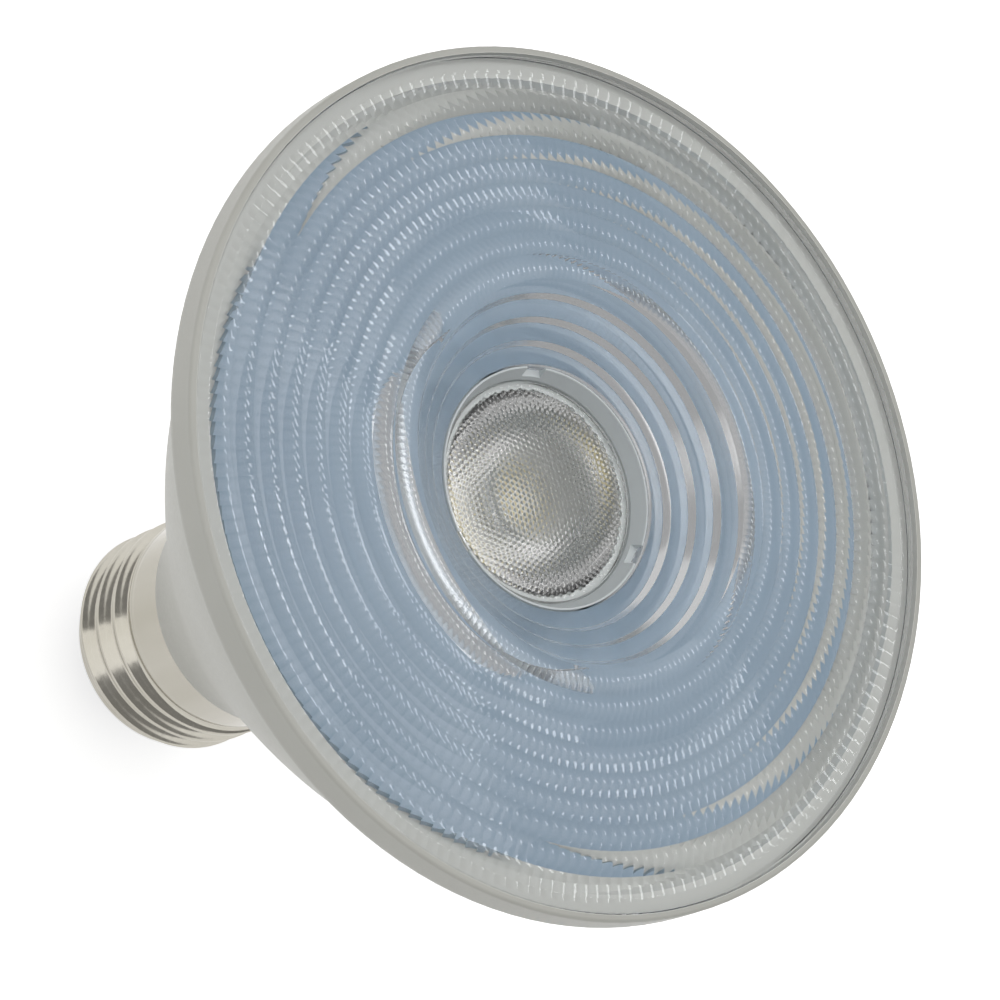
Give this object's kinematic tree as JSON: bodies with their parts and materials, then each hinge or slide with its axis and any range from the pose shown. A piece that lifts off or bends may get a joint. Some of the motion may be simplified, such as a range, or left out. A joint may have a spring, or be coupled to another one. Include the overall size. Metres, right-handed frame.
{
  "type": "led reflector lamp",
  "caption": "Short-neck LED reflector lamp: conical housing, clear fluted ring lens with a stepped centre funnel, and a screw cap that holds and feeds it.",
  "frame": {"origin": "tip of the centre contact, on the lamp's axis", "axes": "+Z along the lamp's axis from the cap to the lens; X and Y are square to it, and +X is at the zero of the angles of the collar's clip slots"},
  "size_m": [0.095, 0.095, 0.0912],
  "materials": {
    "housing_plastic": "satin off-white moulding",
    "clear_plastic": "clear polished moulding",
    "blue_plate": "satin blue-grey sheet",
    "collar_plastic": "satin pale grey moulding",
    "nickel": "nickel plated, polished",
    "insulator_black": "glossy dark",
    "contact_metal": "tinned",
    "phosphor": "matt yellow",
    "led_ceramic": "matt white",
    "led_board_mask": "white mask on aluminium",
    "pad_grey": "soft matt",
    "sink_aluminium": "pressed",
    "screw_steel": "zinc plated",
    "case_plastic": "white moulding",
    "driver_board_green": "green mask",
    "ferrite": "dark sintered",
    "winding_tape": "yellow tape",
    "can_sleeve": "dark sleeve",
    "chip_black": "moulded",
    "resistor_body": "coated",
    "lead_red": "insulation",
    "lead_black": "insulation"
  },
  "bodies": {
    "root": {"housing": "housing_plastic", "heat_sink": "sink_aluminium", "front_lens": "clear_plastic", "backing_plate": "blue_plate", "lens_holder": "collar_plastic", "centre_lens": "clear_plastic", "holder_screws": "screw_steel", "led_phosphor": "phosphor", "led_base": "led_ceramic", "led_board": "led_board_mask", "thermal_pad": "pad_grey", "driver_case": "case_plastic", "driver_board": "driver_board_green", "transformer_core": "ferrite", "transformer_winding": "winding_tape", "input_capacitor": "can_sleeve", "output_capacitor": "can_sleeve", "choke": "ferrite", "bridge_rectifier": "chip_black", "driver_chip": "chip_black", "fuse_resistor": "resistor_body", "live_lead": "lead_red", "neutral_lead": "lead_black", "led_lead_positive": "lead_red", "led_lead_negative": "lead_black", "cap_shell": "nickel", "cap_insulator": "insulator_black", "centre_contact": "contact_metal"}
  },
  "joints": []
}
